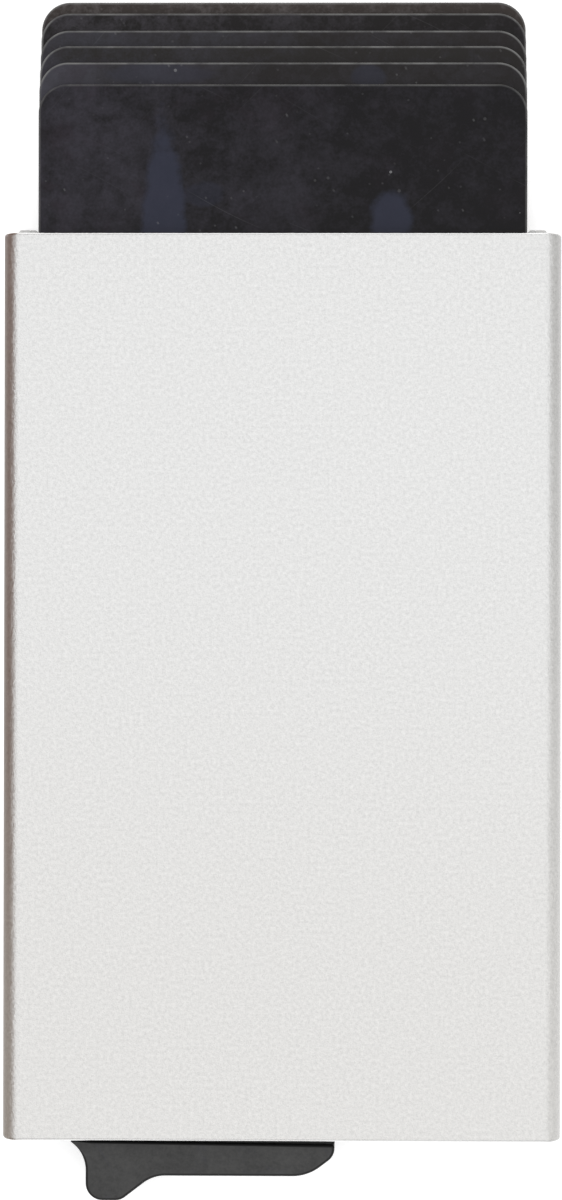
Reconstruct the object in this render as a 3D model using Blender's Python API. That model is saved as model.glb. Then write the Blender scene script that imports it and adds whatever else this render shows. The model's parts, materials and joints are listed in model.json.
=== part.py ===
# Pop up card holder: a flat aluminium case, open at both ends, that holds six cards,
# with a thumb lever at its foot that lifts the cards out as a fan.
# Metres. X is the width, Y runs to the mouth and Z comes out of the front face.
# The origin is the middle of the flat back face, which the holder lies on.
# The lever stands pressed home, and the cards stand where it has lifted them.

import math

import bmesh
import bpy
from mathutils import Vector

# Cards of the common bank card size, numbered from the front face to the back.
# CARD_AIR lies between two cards, CARD_FACE_AIR between the stack and the bore's faces,
# and CARD_INSET is how far a shut card's top lies below the rim
CARD_WIDTH = 0.05398
CARD_LENGTH = 0.08560
CARD_THICKNESS = 0.00076
CARD_CORNER_RADIUS = 0.00318
CARD_EDGE_EASE = 0.0001
CARD_AIR = 0.00014
CARD_FACE_AIR = 0.00037
CARD_INSET = 0.0005

# Lift of each card as a share of the back card's, from the front card on
LIFT_SHARES = (0.6355, 0.7303, 0.8032, 0.8724, 0.9490, 1.0)
CARD_COUNT = len(LIFT_SHARES)

# Gaps: SEAT_GAP between pieces that are fixed to each other, RUN_GAP between moving ones
SEAT_GAP = 0.0002
RUN_GAP = 0.0003

# Case, an extruded tube with flat faces and rounded sides
CASE_WALL = 0.0010
CASE_SIDE_BULGE = 0.0020
CASE_BORE_BULGE_SHARE = 0.5
CASE_RIM_CHAMFER = 0.00025

# Lever: the swing and the stepped lifting arm
LEVER_SWING = math.radians(37.0)
HUB_RADIUS = 0.0029
ARM_HEIGHT = 0.0061
ARM_TIP_RADIUS = 0.0010
ARM_END_GAP = 0.00034
ARM_ROOT_TURN = math.radians(60.0)
ARM_TOP_START = 0.0050
ARM_FLOOR_GAP = 0.0004

# Lever: the thinner web and the thumb fin that hangs out of the case
WEB_SETBACK = 0.0024
WEB_EDGE_EASE = 0.0004
FIN_DROP = 0.0041
FIN_CORNER_RADIUS = 0.0026
HOOK_DROP = 0.0068
HOOK_SIDE = 0.0041
HOOK_FOOT = 0.0036
HOOK_SLOPE = math.radians(38.0)
HOOK_HEEL_RADIUS = 0.0014
HOOK_TOE_RADIUS = 0.0016
HOOK_THROAT_RADIUS = 0.0040
FLARE_RADIUS = 0.0032
FLARE_TURN = math.radians(66.0)

# Pivot pin
PIN_RADIUS = 0.0010
PIN_FIT = 0.0001
PIN_END_EASE = 0.0002

# Base insert: a floor with the lever's slot in it and two cheeks that hold the pin
BASE_RECESS = 0.0003
BASE_SIDE_WALL = 0.0008
FLOOR_HEIGHT = 0.0030
PIVOT_OVER_FLOOR = 0.0042
CHEEK_SINK = 0.0009
CHEEK_THICKNESS = 0.00075
RAIL_GAP = 0.00025

# Friction strips down both sides of the bore, and the carriers that they are stuck to
CARRIER_THICKNESS = 0.00181
CARRIER_START_GAP = 0.0003
CARRIER_PROUD = 0.0006
CARRIER_EDGE_EASE = 0.0004
PILE_GAP = 0.0002
PILE_THICKNESS = 0.0005
PILE_START_GAP = 0.0038
PILE_END_GAP = 0.0010
PILE_SIDE_GAP = 0.0001
PILE_EDGE_EASE = 0.0001

# How far a cutting shape runs past what it cuts
OVERRUN = 0.0020

# Points closer than this are one point, and edges sharper than this stay crisp
MERGE_DISTANCE = 0.0000001
CRISP_ANGLE = math.radians(35.0)

# Facets along each kind of round
SIDE_FACETS = 12
CORNER_FACETS = 6
NOSE_FACETS = 9
CIRCLE_FACETS = 32
WEB_FACETS = 16
EASE_FACETS = 2

# Depths, from the stack of cards outwards
card_pitch = CARD_THICKNESS + CARD_AIR
stack_depth = card_pitch * CARD_COUNT - CARD_AIR
bore_back = CASE_WALL
bore_front = bore_back + stack_depth + 2 * CARD_FACE_AIR
case_depth = bore_front + CASE_WALL
mid_depth = case_depth / 2

# Widths, from the cards' edge through a pile strip and its carrier to the outside
pile_inner = CARD_WIDTH / 2 + PILE_GAP
pile_outer = pile_inner + PILE_THICKNESS
carrier_inner = pile_outer + SEAT_GAP
bore_half_width = carrier_inner + CARRIER_THICKNESS + SEAT_GAP
case_half_width = bore_half_width + CASE_WALL
bore_bulge = CASE_SIDE_BULGE * CASE_BORE_BULGE_SHARE

# Heights, from the foot up through the floor, the pivot and the arm to the shut cards
pivot_height = BASE_RECESS + FLOOR_HEIGHT + PIVOT_OVER_FLOOR
card_foot_height = pivot_height + ARM_HEIGHT + RUN_GAP
case_length = card_foot_height + CARD_LENGTH + CARD_INSET
case_foot = -case_length / 2
case_rim = case_length / 2
floor_foot = case_foot + BASE_RECESS
floor_top = floor_foot + FLOOR_HEIGHT
shut_card_foot = case_foot + card_foot_height

# The pivot stands as near to the left side as the hub and the insert's wall let it
base_half_width = bore_half_width - SEAT_GAP
pivot_x = HUB_RADIUS + RUN_GAP + BASE_SIDE_WALL - base_half_width
pivot_y = case_foot + pivot_height
cheek_radius = PIVOT_OVER_FLOOR + CHEEK_SINK
root_radius = cheek_radius + RUN_GAP
web_thickness = bore_front - bore_back - 2 * (SEAT_GAP + CHEEK_THICKNESS + RAIL_GAP)
base_back = bore_back + SEAT_GAP
base_front = bore_front - SEAT_GAP
carrier_foot = pivot_y + cheek_radius + CARRIER_START_GAP
carrier_end = case_rim + CARRIER_PROUD


def nose_point(reach, turn):
    # Involute of a circle of radius reach, raised by the arm's height: turned by the same
    # angle it touches a level line at ARM_HEIGHT + reach * turn, so a card on it rises evenly
    lift = ARM_HEIGHT + reach * turn
    across = reach * math.cos(turn) + lift * math.sin(turn)
    along = lift * math.cos(turn) - reach * math.sin(turn)
    return (across, along)


def tip_centre(reach):
    # Middle of the round that ends a step, just inside the end of its involute
    across, along = nose_point(reach, LEVER_SWING)
    return (across - ARM_TIP_RADIUS * math.sin(LEVER_SWING),
            along - ARM_TIP_RADIUS * math.cos(LEVER_SWING))


def lifts():
    # Travel of each card, from shut to where the lever leaves it. The longest step all but
    # fills the width: its far side lies radius * (1 - sine) beyond the end of its involute,
    # and the involute's end is solved for the lift
    sine = math.sin(LEVER_SWING)
    nose = carrier_inner - ARM_END_GAP - pivot_x - ARM_TIP_RADIUS * (1 - sine)
    back_lift = (nose - ARM_HEIGHT * sine) / (math.cos(LEVER_SWING) / LEVER_SWING + sine)
    return [back_lift * share for share in LIFT_SHARES]


def reaches():
    # Each step's base circle: lift per radian of the lever's swing
    return [lift / LEVER_SWING for lift in lifts()]


def card_back_face(index):
    # Height of a card's back face; the front card has index 0
    stack_front = mid_depth + stack_depth / 2
    return stack_front - CARD_THICKNESS - card_pitch * index


def arc(centre_x, centre_y, radius, start, end, facets):
    points = []
    for i in range(facets + 1):
        turn = start + (end - start) * i / facets
        points.append((centre_x + radius * math.cos(turn), centre_y + radius * math.sin(turn)))
    return points


def circle(radius):
    return arc(0.0, 0.0, radius, 0.0, 2 * math.pi, CIRCLE_FACETS)[:-1]


def fillet(before, corner, after, radius, facets):
    # Points of a round that replaces a corner, tangent to both of its sides
    here = Vector(corner)
    to_before = (Vector(before) - here).normalized()
    to_after = (Vector(after) - here).normalized()
    half = to_before.angle(to_after) / 2
    reach = radius / math.tan(half)
    centre = here + (to_before + to_after).normalized() * (radius / math.sin(half))
    first = here + to_before * reach - centre
    last = here + to_after * reach - centre
    start = math.atan2(first.y, first.x)
    sweep = math.atan2(first.x * last.y - first.y * last.x, first.dot(last))
    return arc(centre.x, centre.y, radius, start, start + sweep, facets)


def inset(points, distance):
    # Moves each side of an anticlockwise outline inwards by the same distance
    moved = []
    count = len(points)
    for i in range(count):
        before = Vector(points[i - 1])
        here = Vector(points[i])
        after = Vector(points[(i + 1) % count])
        first = (here - before).normalized()
        second = (after - here).normalized()
        first_normal = Vector((-first.y, first.x))
        second_normal = Vector((-second.y, second.x))
        lean = 1 + first_normal.dot(second_normal)
        shift = (first_normal + second_normal) * (distance / lean)
        moved.append((here.x + shift.x, here.y + shift.y))
    return moved


def section_outline(half_width, bulge, back, front):
    # The case's section in X and Z: flat faces joined by half ellipses, anticlockwise
    flat = half_width - bulge
    middle = (back + front) / 2
    half_depth = (front - back) / 2
    points = []
    for side in (1, -1):
        for i in range(SIDE_FACETS + 1):
            turn = -math.pi / 2 + math.pi * i / SIDE_FACETS
            across = side * (flat + bulge * math.cos(turn))
            points.append((across, middle + side * half_depth * math.sin(turn)))
    return points


def add_object(name, mesh_builder, material):
    mesh = bpy.data.meshes.new(name)
    bmesh.ops.remove_doubles(mesh_builder, verts=mesh_builder.verts, dist=MERGE_DISTANCE)
    bmesh.ops.recalc_face_normals(mesh_builder, faces=mesh_builder.faces)
    mesh_builder.to_mesh(mesh)
    mesh_builder.free()
    mesh.shade_smooth()
    mesh.set_sharp_from_angle(angle=CRISP_ANGLE)
    obj = bpy.data.objects.new(name, mesh)
    bpy.context.scene.collection.objects.link(obj)
    if material is not None:
        mesh.materials.append(material)
    return obj


def skin(name, rings, material, ring_closed=False):
    # Joins rings of equal count with faces; caps both ends, or joins the last to the first
    builder = bmesh.new()
    loops = [[builder.verts.new(point) for point in ring] for ring in rings]
    count = len(rings[0])
    last = len(loops) if ring_closed else len(loops) - 1
    for k in range(last):
        low = loops[k]
        high = loops[(k + 1) % len(loops)]
        for i in range(count):
            j = (i + 1) % count
            builder.faces.new((low[i], low[j], high[j], high[i]))
    if not ring_closed:
        builder.faces.new(loops[0][::-1])
        builder.faces.new(loops[-1])
    return add_object(name, builder, material)


def plate(name, outline, back, front, material, ease=0.0):
    # An outline in X and Y carried along Z, with its rims rounded by ease
    levels = [(back, 0.0), (front, 0.0)]
    if ease > 0:
        levels = []
        for i in range(EASE_FACETS + 1):
            turn = math.pi / 2 * i / EASE_FACETS
            levels.append((back + ease * (1 - math.cos(turn)), ease * (1 - math.sin(turn))))
        for i in range(EASE_FACETS, -1, -1):
            turn = math.pi / 2 * i / EASE_FACETS
            levels.append((front - ease * (1 - math.cos(turn)), ease * (1 - math.sin(turn))))
    rings = []
    for height, cut in levels:
        ring = inset(outline, cut) if cut > 0 else outline
        rings.append([(x, y, height) for x, y in ring])
    return skin(name, rings, material)


def combine(target, tool, operation):
    # Booleans stay live on the piece; the tool is a guide and not a piece
    modifier = target.modifiers.new(tool.name, 'BOOLEAN')
    modifier.operation = operation
    modifier.solver = 'EXACT'
    modifier.object = tool
    tool.hide_render = True
    tool.display_type = 'WIRE'


def make_material(name, colour, roughness, metallic):
    material = bpy.data.materials.new(name)
    material.use_nodes = True
    shader = material.node_tree.nodes['Principled BSDF']
    shader.inputs['Base Color'].default_value = (*colour, 1.0)
    shader.inputs['Roughness'].default_value = roughness
    shader.inputs['Metallic'].default_value = metallic
    return material


def make_case(material):
    # Once round the wall: outside up to the rim, over it, down the bore and over the foot
    chamfer = CASE_RIM_CHAMFER
    half = case_half_width
    outside = section_outline(half, CASE_SIDE_BULGE, 0.0, case_depth)
    outside_rim = section_outline(half - chamfer, CASE_SIDE_BULGE, chamfer, case_depth - chamfer)
    bore = section_outline(bore_half_width, bore_bulge, bore_back, bore_front)
    bore_rim = section_outline(bore_half_width + chamfer, bore_bulge,
                               bore_back - chamfer, bore_front + chamfer)
    stations = [
        (outside, case_foot + chamfer),
        (outside, case_rim - chamfer),
        (outside_rim, case_rim),
        (bore_rim, case_rim),
        (bore, case_rim - chamfer),
        (bore, case_foot + chamfer),
        (bore_rim, case_foot),
        (outside_rim, case_foot),
    ]
    rings = [[(x, y, z) for x, z in section] for section, y in stations]
    return skin('case_sleeve', rings, material, ring_closed=True)


def make_card(index, material):
    # A card is drawn shut, about its own middle, and its object carries it up to its lift
    half_width = CARD_WIDTH / 2
    half_length = CARD_LENGTH / 2
    reach_x = half_width - CARD_CORNER_RADIUS
    reach_y = half_length - CARD_CORNER_RADIUS
    outline = []
    for quarter, (side_x, side_y) in enumerate(((1, 1), (-1, 1), (-1, -1), (1, -1))):
        start = quarter * math.pi / 2
        outline += arc(side_x * reach_x, side_y * reach_y, CARD_CORNER_RADIUS,
                       start, start + math.pi / 2, CORNER_FACETS)
    card = plate('card_%d' % (index + 1), outline, 0.0, CARD_THICKNESS, material, CARD_EDGE_EASE)
    shut_y = shut_card_foot + half_length
    card.location = (0.0, shut_y + lifts()[index], card_back_face(index))
    return card


def arm_outline(reach):
    # One step of the arm with the lever shut, about the pivot, anticlockwise. Its top carries
    # the points where the shorter steps leave it, so that all steps have equal counts
    arm_foot = ARM_FLOOR_GAP - PIVOT_OVER_FLOOR
    root_start = math.asin(arm_foot / root_radius)
    nose = [nose_point(reach, LEVER_SWING * i / NOSE_FACETS) for i in range(NOSE_FACETS + 1)]
    tip_top = math.pi / 2 - LEVER_SWING
    tip = arc(*tip_centre(reach), ARM_TIP_RADIUS, tip_top, -math.pi / 2, CORNER_FACETS)
    root = arc(0.0, 0.0, root_radius, root_start, ARM_ROOT_TURN, CORNER_FACETS)
    top = [(ARM_TOP_START, ARM_HEIGHT)]
    top += [(min(other, reach), ARM_HEIGHT) for other in reaches()]
    clockwise = root + top + nose[1:] + tip[1:]
    return clockwise[::-1]


def make_arm():
    # A step for each card, from the back one to the front one. Each is a shorter copy of
    # the last, and the flat of a step lies midway between two cards
    half_air = CARD_AIR / 2
    margin = CARD_FACE_AIR - RUN_GAP
    rings = []
    for index in range(CARD_COUNT - 1, -1, -1):
        outline = arm_outline(reaches()[index])
        back = card_back_face(index) - half_air
        front = back + card_pitch
        if index == CARD_COUNT - 1:
            back = card_back_face(index) - margin
        if index == 0:
            front = card_back_face(index) + CARD_THICKNESS + margin
        rings.append([(x, y, back - mid_depth) for x, y in outline])
        rings.append([(x, y, front - mid_depth) for x, y in outline])
    return skin('arm_steps', rings, None)


def web_reach():
    # Radius of the web's rim, a little short of the shortest step's nose
    return math.hypot(*nose_point(reaches()[0], LEVER_SWING)) - WEB_SETBACK


def web_outline():
    # The web, the hub and the thumb fin, about the pivot, as they lie with the lever home
    foot = case_foot - pivot_y
    fin_y = foot - FIN_DROP
    hook_y = foot - HOOK_DROP
    side_x = HOOK_SIDE
    web_radius = web_reach()
    # Flare where the fin's edge turns out into the case
    flare = arc(side_x - FLARE_RADIUS, foot - FLARE_RADIUS, FLARE_RADIUS, 0.0, FLARE_TURN,
                CORNER_FACETS)
    # Hook and flat of the fin
    toe = (side_x + HOOK_FOOT, hook_y)
    throat = (toe[0] + (fin_y - hook_y) / math.tan(HOOK_SLOPE), fin_y)
    fin_end = (math.sqrt(web_radius ** 2 - fin_y ** 2), fin_y)
    side_top = (side_x, foot)
    heel = (side_x, hook_y)
    # The rim of the web is tangent to the fin's last round where that round begins
    rim_start = math.asin((fin_y + FIN_CORNER_RADIUS) / (web_radius - FIN_CORNER_RADIUS))
    round_x = (web_radius - FIN_CORNER_RADIUS) * math.cos(rim_start)
    round_y = fin_y + FIN_CORNER_RADIUS
    # The upper edge ends inside the shortest step of the arm
    upper_end = nose_point(reaches()[0], LEVER_SWING)[1] - ARM_TIP_RADIUS
    rim_end = LEVER_SWING + math.asin(upper_end / web_radius)
    hub_start = math.pi / 2 + rim_end
    flare_end = Vector(flare[-1])
    spread = math.acos(HUB_RADIUS / flare_end.length)
    hub_end = 2 * math.pi + math.atan2(flare_end.y, flare_end.x) - spread
    points = []
    points += arc(0.0, 0.0, HUB_RADIUS, hub_start, hub_end, CORNER_FACETS)
    points += flare[::-1]
    points += fillet(side_top, heel, toe, HOOK_HEEL_RADIUS, CORNER_FACETS)
    points += fillet(heel, toe, throat, HOOK_TOE_RADIUS, CORNER_FACETS)
    points += fillet(toe, throat, fin_end, HOOK_THROAT_RADIUS, CORNER_FACETS)
    points += arc(round_x, round_y, FIN_CORNER_RADIUS, -math.pi / 2, rim_start, CORNER_FACETS)
    points += arc(0.0, 0.0, web_radius, rim_start, rim_end, WEB_FACETS)[1:]
    return points


def make_lever(material):
    # The arm is drawn shut and the fin is drawn home, so the fin is turned back by the swing
    lever = make_arm()
    lever.name = 'lever'
    lever.data.name = 'lever'
    lever.data.materials.append(material)
    turn_back = [(x * math.cos(LEVER_SWING) + y * math.sin(LEVER_SWING),
                  y * math.cos(LEVER_SWING) - x * math.sin(LEVER_SWING))
                 for x, y in web_outline()]
    web = plate('lever_web', turn_back, -web_thickness / 2, web_thickness / 2, material,
                WEB_EDGE_EASE)
    bore = circle(PIN_RADIUS + PIN_FIT)
    hole = plate('lever_bore', bore, -case_depth / 2, case_depth / 2, None)
    for tool in (web, hole):
        tool.parent = lever
    combine(lever, web, 'UNION')
    combine(lever, hole, 'DIFFERENCE')
    lever.location = (pivot_x, pivot_y, mid_depth)
    lever.rotation_euler = (0.0, 0.0, LEVER_SWING)
    return lever


def make_pin(material):
    half_length = (base_front - base_back) / 2
    pin = plate('pivot_pin', circle(PIN_RADIUS), -half_length, half_length, material,
                PIN_END_EASE)
    pin.location = (pivot_x, pivot_y, mid_depth)
    return pin


def make_base(material):
    # A plug of the bore's own section, cut down to a slotted floor and two cheeks
    section = section_outline(base_half_width, bore_bulge, base_back, base_front)
    cheek_top = pivot_y + cheek_radius
    rings = [[(x, y, z) for x, z in section] for y in (floor_foot, cheek_top)]
    base = skin('base_insert', rings, material)
    # Everything above the floor goes, except the round cheeks
    far_x = case_half_width + OVERRUN - pivot_x
    over_top = cheek_radius + OVERRUN
    over_floor = -PIVOT_OVER_FLOOR
    cheek = arc(0.0, 0.0, cheek_radius, math.asin(over_floor / cheek_radius), math.pi / 2,
                CIRCLE_FACETS // 2)
    room = cheek + [(0.0, over_top), (far_x, over_top), (far_x, over_floor)]
    room_cut = plate('base_room', room[::-1], -case_depth / 2, case_depth / 2, None)
    # The slot keeps to the web's rim on the right and to the hub on the left
    slot_left = -HUB_RADIUS - RUN_GAP
    slot_foot = floor_foot - OVERRUN - pivot_y
    slot_radius = web_reach() + RUN_GAP
    slot_end = arc(0.0, 0.0, slot_radius, math.asin(slot_foot / slot_radius), 0.0, CORNER_FACETS)
    slot = [(slot_left, slot_foot)] + slot_end + [(slot_radius, over_top), (slot_left, over_top)]
    half_slot = web_thickness / 2 + RAIL_GAP
    slot_cut = plate('base_slot', slot, -half_slot, half_slot, None)
    bore = circle(PIN_RADIUS + PIN_FIT)
    pin_cut = plate('base_bore', bore, -case_depth / 2, case_depth / 2, None)
    for tool in (room_cut, slot_cut, pin_cut):
        tool.location = (pivot_x, pivot_y, mid_depth)
        combine(base, tool, 'DIFFERENCE')
    return base


def make_carrier(name, side, material):
    # A bar whose outer side follows the rounded side of the bore
    section = section_outline(base_half_width, bore_bulge, base_back, base_front)
    outer = section[:SIDE_FACETS + 1]
    profile = [(carrier_inner, outer[0][1])] + outer + [(carrier_inner, outer[-1][1])]
    eased = inset(profile, CARRIER_EDGE_EASE)
    stations = [(profile, carrier_foot), (profile, carrier_end - CARRIER_EDGE_EASE),
                (eased, carrier_end)]
    rings = [[(side * x, y, z) for x, z in shape] for shape, y in stations]
    return skin(name, rings, material)


def make_pile(name, side, material):
    # The soft strip that grips the cards' edges, stuck to the carrier's flat. It starts
    # above the height where the longest step's tip swings past it
    sweep = math.hypot(*tip_centre(reaches()[-1])) + ARM_TIP_RADIUS
    passing = math.sqrt(sweep ** 2 - (pile_inner - pivot_x) ** 2)
    back = base_back + PILE_SIDE_GAP
    front = base_front - PILE_SIDE_GAP
    profile = [(pile_inner, back), (pile_outer, back), (pile_outer, front), (pile_inner, front)]
    eased = inset(profile, PILE_EDGE_EASE)
    foot = pivot_y + passing + PILE_START_GAP
    end = carrier_end - PILE_END_GAP
    stations = [(eased, foot), (profile, foot + PILE_EDGE_EASE), (profile, end - PILE_EDGE_EASE),
                (eased, end)]
    rings = [[(side * x, y, z) for x, z in shape] for shape, y in stations]
    return skin(name, rings, material)


def main():
    for obj in list(bpy.data.objects):
        bpy.data.objects.remove(obj, do_unlink=True)

    aluminium = make_material('blasted_aluminium', (0.80, 0.80, 0.79), 0.45, 1.0)
    lever_plastic = make_material('lever_plastic', (0.058, 0.058, 0.060), 0.55, 0.0)
    base_plastic = make_material('base_plastic', (0.030, 0.030, 0.030), 0.6, 0.0)
    card_plastic = make_material('card_plastic', (0.026, 0.026, 0.028), 0.35, 0.0)
    carrier_plastic = make_material('carrier_plastic', (0.080, 0.078, 0.075), 0.7, 0.0)
    pile_fibre = make_material('pile_fibre', (0.040, 0.040, 0.040), 0.95, 0.0)
    steel = make_material('pin_steel', (0.60, 0.60, 0.61), 0.3, 1.0)

    make_case(aluminium)
    make_base(base_plastic)
    make_pin(steel)
    make_lever(lever_plastic)
    for index in range(CARD_COUNT):
        make_card(index, card_plastic)
    for name, side in (('left', -1), ('right', 1)):
        make_carrier(name + '_strip_carrier', side, carrier_plastic)
        make_pile(name + '_pile_strip', side, pile_fibre)


main()
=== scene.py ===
import json
import math

import bmesh
import bpy
import numpy as np
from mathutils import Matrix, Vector


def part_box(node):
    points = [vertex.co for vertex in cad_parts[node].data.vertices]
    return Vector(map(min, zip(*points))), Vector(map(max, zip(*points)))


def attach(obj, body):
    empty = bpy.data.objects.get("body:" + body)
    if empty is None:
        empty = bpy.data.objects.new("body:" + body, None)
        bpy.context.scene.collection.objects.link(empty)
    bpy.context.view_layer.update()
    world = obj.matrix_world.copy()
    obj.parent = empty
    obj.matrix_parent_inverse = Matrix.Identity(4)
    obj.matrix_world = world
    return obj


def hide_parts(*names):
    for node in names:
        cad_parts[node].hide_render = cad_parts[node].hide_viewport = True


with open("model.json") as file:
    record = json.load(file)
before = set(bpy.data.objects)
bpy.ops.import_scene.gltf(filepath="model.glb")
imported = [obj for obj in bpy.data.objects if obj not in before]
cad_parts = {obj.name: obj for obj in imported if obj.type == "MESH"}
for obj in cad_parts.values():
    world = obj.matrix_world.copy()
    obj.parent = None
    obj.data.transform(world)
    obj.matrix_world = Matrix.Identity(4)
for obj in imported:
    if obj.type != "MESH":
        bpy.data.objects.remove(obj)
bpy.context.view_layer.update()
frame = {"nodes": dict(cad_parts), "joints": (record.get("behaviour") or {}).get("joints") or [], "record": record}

# Pop up card holder lying on its back on a pale table, seen from above.
# Metres; x is the width, y runs to the mouth and z comes out of the front face.
nodes = frame["nodes"]
mm = 0.001


# Nodes of a material or group, made and linked in one call

def setSocket(tree, socket, value):
    if isinstance(value, bpy.types.NodeSocket):
        tree.links.new(value, socket)
    else:
        socket.default_value = value


def addNode(tree, kind, inputs=None, **settings):
    made = tree.nodes.new("ShaderNode" + kind)
    for key, value in settings.items():
        setattr(made, key, value)
    for key, value in (inputs or {}).items():
        setSocket(tree, made.inputs[key], value)
    return made


def mathOf(tree, operation, first, second=None, kind="Math"):
    inputs = {0: first} if second is None else {0: first, 1: second}
    return addNode(tree, kind, inputs, operation=operation).outputs[0]


def plus(tree, first, second):
    return mathOf(tree, "ADD", first, second)


def minus(tree, first, second):
    return mathOf(tree, "SUBTRACT", first, second)


def times(tree, first, second):
    return mathOf(tree, "MULTIPLY", first, second)


def scaleShift(tree, value, factor, shift):
    # value * factor + shift
    return plus(tree, times(tree, value, factor), shift)


def lengthOf(tree, x, y):
    # Root of x * x + y * y
    return mathOf(tree, "SQRT", plus(tree, times(tree, x, x), times(tree, y, y)))


def vectorOf(tree, operation, first, second=None):
    return mathOf(tree, operation, first, second, "VectorMath")


def smoothRamp(tree, value, low, high, start=0.0, end=1.0):
    # Smooth step from start to end as value goes from low to high
    made = addNode(tree, "MapRange", {"Value": value, "From Min": low, "From Max": high,
                                      "To Min": start, "To Max": end}, interpolation_type="SMOOTHSTEP")
    return made.outputs["Result"]


def noiseOf(tree, place, scale, detail, roughness=0.5, distortion=0.0):
    return addNode(tree, "TexNoise", {"Vector": place, "Scale": scale, "Detail": detail,
                                      "Roughness": roughness, "Distortion": distortion}).outputs[0]


def blendColours(tree, factor, first, second):
    # A colour is a socket, or a tuple of three numbers
    made = addNode(tree, "Mix", data_type="RGBA")
    for socket, value in ((made.inputs[0], factor), (made.inputs[6], first), (made.inputs[7], second)):
        setSocket(tree, socket, (*value, 1.0) if isinstance(value, tuple) else value)
    return made.outputs[2]


def startGroup(name, outputs, **inputs):
    # An input whose value is a float takes a number, and any other takes a vector
    tree = bpy.data.node_groups.new(name, "ShaderNodeTree")
    for label, value in inputs.items():
        kind = "Float" if isinstance(value, float) else "Vector"
        socket = tree.interface.new_socket(label, in_out="INPUT", socket_type="NodeSocket" + kind)
        if value is not None:
            socket.default_value = value
    for label in outputs:
        tree.interface.new_socket(label, in_out="OUTPUT", socket_type="NodeSocketFloat")
    return tree, tree.nodes.new("NodeGroupInput").outputs, tree.nodes.new("NodeGroupOutput").inputs


def useGroup(tree, group, **values):
    made = tree.nodes.new("ShaderNodeGroup")
    made.node_tree = group
    for key, value in values.items():
        setSocket(tree, made.inputs[key], value)
    return made.outputs


grainShape = {"finer": 2.7, "coarseShare": 0.6, "fineShare": 0.4}


def makeGrainGroup():
    # Two sizes of cloudy noise, summed: Tone is stretched about its middle, Height stays soft
    shape = grainShape
    tree, given, gives = startGroup("fineGrain", ["Tone", "Height"],
                                    Place=None, Frequency=1000.0, Contrast=1.0)
    coarse = noiseOf(tree, given["Place"], given["Frequency"], detail=2.0, roughness=0.6)
    finer = times(tree, given["Frequency"], shape["finer"])
    fine = noiseOf(tree, given["Place"], finer, detail=1.0)
    mixed = plus(tree, times(tree, coarse, shape["coarseShare"]), times(tree, fine, shape["fineShare"]))
    spread = times(tree, minus(tree, mixed, 0.5), given["Contrast"])
    tone = addNode(tree, "Clamp", {"Value": plus(tree, spread, 0.5)})
    tree.links.new(tone.outputs[0], gives["Tone"])
    tree.links.new(mixed, gives["Height"])
    return tree


speckShape = {"leastSize": 0.3, "faintest": 0.3, "faintSpread": 0.7}


def makeSpeckGroup():
    # Small round cells of a Voronoi pattern, kept only where the cell's own random value is low
    tree, given, gives = startGroup("dustSpecks", ["Mask"],
                                    Place=None, Frequency=300.0, Radius=0.1, Share=0.1)
    cells = addNode(tree, "TexVoronoi", {"Vector": given["Place"], "Scale": given["Frequency"]}).outputs
    parts = addNode(tree, "SeparateColor", {"Color": cells["Color"]}).outputs
    size = times(tree, given["Radius"], plus(tree, parts[1], speckShape["leastSize"]))
    near = mathOf(tree, "LESS_THAN", cells["Distance"], size)
    kept = mathOf(tree, "LESS_THAN", parts[0], given["Share"])
    faint = scaleShift(tree, parts[2], speckShape["faintSpread"], speckShape["faintest"])
    tree.links.new(times(tree, times(tree, near, kept), faint), gives["Mask"])
    return tree


def makeBlotchGroup():
    # Cloudy noise with a soft threshold, for haze and finger marks
    tree, given, gives = startGroup("softBlotch", ["Mask"], Place=None, Frequency=60.0, Low=0.5, High=0.7)
    cloud = noiseOf(tree, given["Place"], given["Frequency"], detail=4.0, roughness=0.62, distortion=0.4)
    tree.links.new(smoothRamp(tree, cloud, given["Low"], given["High"]), gives["Mask"])
    return tree


scratchShape = {"bendScale": 60.0, "bend": 1.4, "rowStep": 7.31, "crispness": 8.0}


def makeScratchGroup():
    # Rows across a direction, a line in the middle of each, kept in stretches by the row's own noise
    shape = scratchShape
    tree, given, gives = startGroup("hairScratches", ["Mask"], Place=None, Across=(0, 600, 0),
                                    Along=(40, 0, 0), Width=0.04, Level=0.6)
    across, along = [addNode(tree, "VectorMath", {0: given["Place"], 1: given[label]},
                             operation="DOT_PRODUCT").outputs["Value"] for label in ("Across", "Along")]
    bend = noiseOf(tree, given["Place"], shape["bendScale"], detail=0.0)
    rows = plus(tree, across, times(tree, bend, shape["bend"]))
    away = mathOf(tree, "ABSOLUTE", minus(tree, mathOf(tree, "FRACT", rows), 0.5))
    near = mathOf(tree, "LESS_THAN", away, given["Width"])
    row = times(tree, mathOf(tree, "FLOOR", rows), shape["rowStep"])
    spot = addNode(tree, "CombineXYZ", {0: along, 1: row}).outputs[0]
    stretch = noiseOf(tree, spot, scale=1.0, detail=1.0)
    kept = times(tree, minus(tree, stretch, given["Level"]), shape["crispness"])
    strength = addNode(tree, "Clamp", {"Value": kept}).outputs[0]
    tree.links.new(times(tree, near, strength), gives["Mask"])
    return tree


smearShape = {"narrowest": 0.2, "cloud": 420.0, "push": 0.7, "outer": 1.42, "inner": 1.05}


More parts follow.
